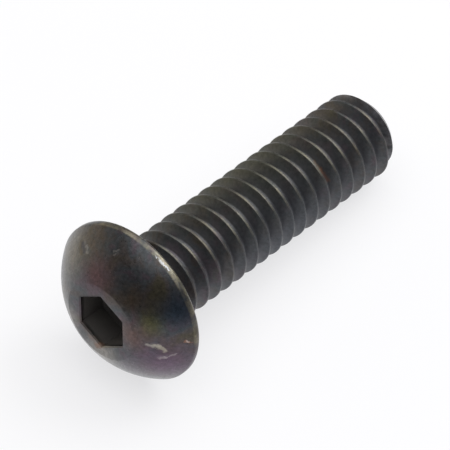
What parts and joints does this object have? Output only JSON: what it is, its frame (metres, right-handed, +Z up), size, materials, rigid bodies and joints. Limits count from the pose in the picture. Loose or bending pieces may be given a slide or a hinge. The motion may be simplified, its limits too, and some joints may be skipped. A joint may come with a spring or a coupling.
{
  "type": "cap screw",
  "caption": "Button-head cap screw of blackened steel with a hexagon socket and a coarse right-hand thread up to its head; it clamps a part through a clearance hole.",
  "frame": {"origin": "on the surface that the screw lies on, under the middle of its length", "axes": "+X from the head towards the point, along the surface; +Z up. The screw's own axis falls 6.74 degrees towards the point, because the head's rim is wider than the thread."},
  "size_m": [0.0176, 0.0076, 0.0075],
  "materials": {
    "black_oxide_steel": "alloy steel with a black oxide finish under a film of oil, worn to grey on the crests and edges"
  },
  "bodies": {
    "root": {"cap_screw": "black_oxide_steel"}
  },
  "joints": []
}
